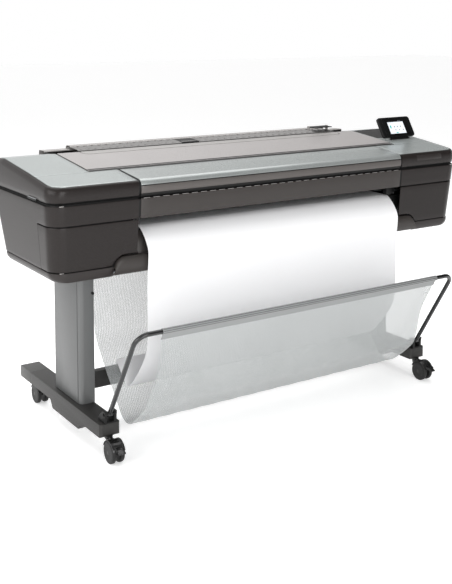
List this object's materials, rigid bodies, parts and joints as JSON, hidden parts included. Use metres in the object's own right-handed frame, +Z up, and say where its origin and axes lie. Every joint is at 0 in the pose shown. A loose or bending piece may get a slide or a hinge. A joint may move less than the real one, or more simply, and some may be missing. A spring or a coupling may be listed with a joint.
{
  "type": "large format plotter",
  "caption": "Wide roll-fed plotter on a wheeled stand, with a lifting print window, a roll cover, a tilting touch display and a cloth paper bin.",
  "frame": {"origin": "on the floor, in the middle of the machine's footprint", "axes": "+X along the paper's width to the operator's right, +Y to the rear, +Z up"},
  "size_m": [1.802, 0.8954, 1.0456],
  "materials": {
    "casing_dark": "satin moulded",
    "casing_silver": "fine satin silver",
    "casing_grey": "satin moulded",
    "black_plastic": "fine texture",
    "screen": "glossy",
    "cartridge_plastic": "satin",
    "stand_paint": "fine textured powder coat",
    "stand_cover": "fine textured powder coat",
    "foot_cap": "satin moulded",
    "pan_steel": "zinc plated sheet",
    "rod_paint": "gunmetal satin",
    "shaft_steel": "ground",
    "bright_aluminium": "plain",
    "roller_rubber": "matt",
    "feed_coating": "grit coated",
    "bin_fabric": "open technical mesh",
    "media": "matt coated paper",
    "caster_plastic": "satin moulded",
    "wheel_tyre": "satin tread"
  },
  "bodies": {
    "root": {"left_end_cover": "casing_dark", "right_end_cover": "casing_dark", "left_side_panel": "casing_dark", "right_side_panel": "casing_dark", "bottom_caps": "casing_dark", "top_inlays": "casing_silver", "front_fascia": "casing_grey", "output_guide": "casing_grey", "rear_cover": "casing_grey", "rear_panel": "casing_grey", "platen": "black_plastic", "service_station": "black_plastic", "ink_bays": "black_plastic", "ink_cartridges": "cartridge_plastic", "columns": "stand_paint", "left_foot": "stand_paint", "right_foot": "stand_paint", "cross_brace": "stand_paint", "bin_brackets": "stand_paint", "column_covers": "stand_cover", "foot_end_caps": "foot_cap", "bottom_pan": "pan_steel", "side_plates": "pan_steel", "main_beam": "pan_steel", "carriage_rail": "shaft_steel", "scan_motor": "shaft_steel", "stand_screws": "shaft_steel", "power_unit": "bright_aluminium", "drive_belt": "roller_rubber", "bin_sling": "bin_fabric", "paper_sheet": "media"},
    "window": {"window_cover": "casing_grey"},
    "lid": {"roll_cover": "casing_silver"},
    "display": {"display_housing": "black_plastic", "display_screen": "screen"},
    "left_door": {"left_ink_door": "casing_dark"},
    "right_door": {"right_ink_door": "casing_dark"},
    "carriage": {"carriage": "black_plastic", "print_heads": "black_plastic"},
    "drive_pulley": {"drive_pulley": "black_plastic"},
    "idler_pulley": {"idler_pulley": "black_plastic"},
    "roll": {"spindle": "black_plastic", "paper_roll": "media"},
    "feed_roller": {"feed_roller": "feed_coating"},
    "pinch_rollers": {"pinch_rollers": "roller_rubber"},
    "bin": {"bin_frame": "rod_paint", "bin_front_panel": "bin_fabric"},
    "cutter": {"cutter": "black_plastic"},
    "release_lever": {"release_lever": "black_plastic"},
    "power_switch": {"power_switch": "black_plastic"},
    "caster_front_left": {"caster_front_left": "caster_plastic"},
    "wheels_front_left": {"wheels_front_left": "wheel_tyre"},
    "caster_front_right": {"caster_front_right": "caster_plastic"},
    "wheels_front_right": {"wheels_front_right": "wheel_tyre"},
    "caster_rear_left": {"caster_rear_left": "caster_plastic"},
    "wheels_rear_left": {"wheels_rear_left": "wheel_tyre"},
    "caster_rear_right": {"caster_rear_right": "caster_plastic"},
    "wheels_rear_right": {"wheels_rear_right": "wheel_tyre"},
    "brake_front_left": {"brake_front_left": "caster_plastic"},
    "brake_front_right": {"brake_front_right": "caster_plastic"}
  },
  "joints": [
    {"name": "window_hinge", "type": "hinge", "parent": "root", "child": "window", "pos_m": [0, -0.1165, 0.938], "axis": [-1, 0, 0], "range_deg": [0, 70]},
    {"name": "lid_hinge", "type": "hinge", "parent": "root", "child": "lid", "pos_m": [0, 0.1635, 0.9705], "axis": [-1, 0, 0], "range_deg": [0, 75]},
    {"name": "display_tilt", "type": "hinge", "parent": "root", "child": "display", "pos_m": [0.78, -0.0415, 0.958], "axis": [-1, 0, 0], "range_deg": [-20, 25]},
    {"name": "left_door_hinge", "type": "hinge", "parent": "root", "child": "left_door", "pos_m": [-0.598, -0.2475, 0.737], "axis": [0, 0, 1], "range_deg": [0, 95]},
    {"name": "right_door_hinge", "type": "hinge", "parent": "root", "child": "right_door", "pos_m": [0.598, -0.2475, 0.737], "axis": [0, 0, -1], "range_deg": [0, 95]},
    {"name": "carriage_scan", "type": "slide", "parent": "root", "child": "carriage", "axis": [1, 0, 0], "range_m": [-1.31, 0]},
    {"name": "drive_pulley_spin", "type": "hinge", "parent": "root", "child": "drive_pulley", "pos_m": [0.728, -0.0755, 0.898], "axis": [0, 1, 0], "range_deg": [-5, 6900]},
    {"name": "idler_pulley_spin", "type": "hinge", "parent": "root", "child": "idler_pulley", "pos_m": [-0.728, -0.0755, 0.898], "axis": [0, 1, 0], "range_deg": [-5, 6900]},
    {"name": "roll_spin", "type": "hinge", "parent": "root", "child": "roll", "pos_m": [0, 0.0665, 0.862], "axis": [-1, 0, 0], "continuous": true},
    {"name": "feed_spin", "type": "hinge", "parent": "root", "child": "feed_roller", "pos_m": [0, -0.0735, 0.7431], "axis": [1, 0, 0], "continuous": true},
    {"name": "pinch_spin", "type": "hinge", "parent": "root", "child": "pinch_rollers", "pos_m": [0, -0.0735, 0.7719], "axis": [-1, 0, 0], "continuous": true},
    {"name": "bin_tilt", "type": "hinge", "parent": "root", "child": "bin", "pos_m": [0, -0.2465, 0.153], "axis": [-1, 0, 0], "range_deg": [0, 22]},
    {"name": "cutter_slide", "type": "slide", "parent": "root", "child": "cutter", "axis": [1, 0, 0], "range_m": [-1.12, 0]},
    {"name": "lever_hinge", "type": "hinge", "parent": "root", "child": "release_lever", "pos_m": [0.546, 0.2215, 0.9985], "axis": [-1, 0, 0], "range_deg": [0, 40]},
    {"name": "switch_rock", "type": "hinge", "parent": "root", "child": "power_switch", "pos_m": [-0.427, 0.2215, 0.705], "axis": [-1, 0, 0], "range_deg": [0, 16]},
    {"name": "swivel_front_left", "type": "hinge", "parent": "root", "child": "caster_front_left", "pos_m": [-0.6975, -0.2415, 0.09], "axis": [0, 0, 1], "continuous": true},
    {"name": "axle_front_left", "type": "hinge", "parent": "caster_front_left", "child": "wheels_front_left", "pos_m": [-0.6975, -0.2815, 0.037], "axis": [1, 0, 0], "continuous": true},
    {"name": "swivel_front_right", "type": "hinge", "parent": "root", "child": "caster_front_right", "pos_m": [0.6975, -0.2415, 0.09], "axis": [0, 0, 1], "continuous": true},
    {"name": "axle_front_right", "type": "hinge", "parent": "caster_front_right", "child": "wheels_front_right", "pos_m": [0.6975, -0.2815, 0.037], "axis": [1, 0, 0], "continuous": true},
    {"name": "swivel_rear_left", "type": "hinge", "parent": "root", "child": "caster_rear_left", "pos_m": [-0.6975, 0.3825, 0.09], "axis": [0, 0, 1], "continuous": true},
    {"name": "axle_rear_left", "type": "hinge", "parent": "caster_rear_left", "child": "wheels_rear_left", "pos_m": [-0.6975, 0.3425, 0.037], "axis": [1, 0, 0], "continuous": true},
    {"name": "swivel_rear_right", "type": "hinge", "parent": "root", "child": "caster_rear_right", "pos_m": [0.6975, 0.3825, 0.09], "axis": [0, 0, 1], "continuous": true},
    {"name": "axle_rear_right", "type": "hinge", "parent": "caster_rear_right", "child": "wheels_rear_right", "pos_m": [0.6975, 0.3425, 0.037], "axis": [1, 0, 0], "continuous": true},
    {"name": "brake_front_left_press", "type": "hinge", "parent": "caster_front_left", "child": "brake_front_left", "pos_m": [-0.6975, -0.3255, 0.057], "axis": [1, 0, 0], "range_deg": [0, 20]},
    {"name": "brake_front_right_press", "type": "hinge", "parent": "caster_front_right", "child": "brake_front_right", "pos_m": [0.6975, -0.3255, 0.057], "axis": [1, 0, 0], "range_deg": [0, 20]}
  ],
  "couplings": [
    {"joint": "drive_pulley_spin", "follows": "carriage_scan", "rad_per_m": -90.909},
    {"joint": "idler_pulley_spin", "follows": "carriage_scan", "rad_per_m": -90.909},
    {"joint": "feed_spin", "follows": "roll_spin", "ratio": 3.4444},
    {"joint": "pinch_spin", "follows": "roll_spin", "ratio": 6.8889}
  ]
}
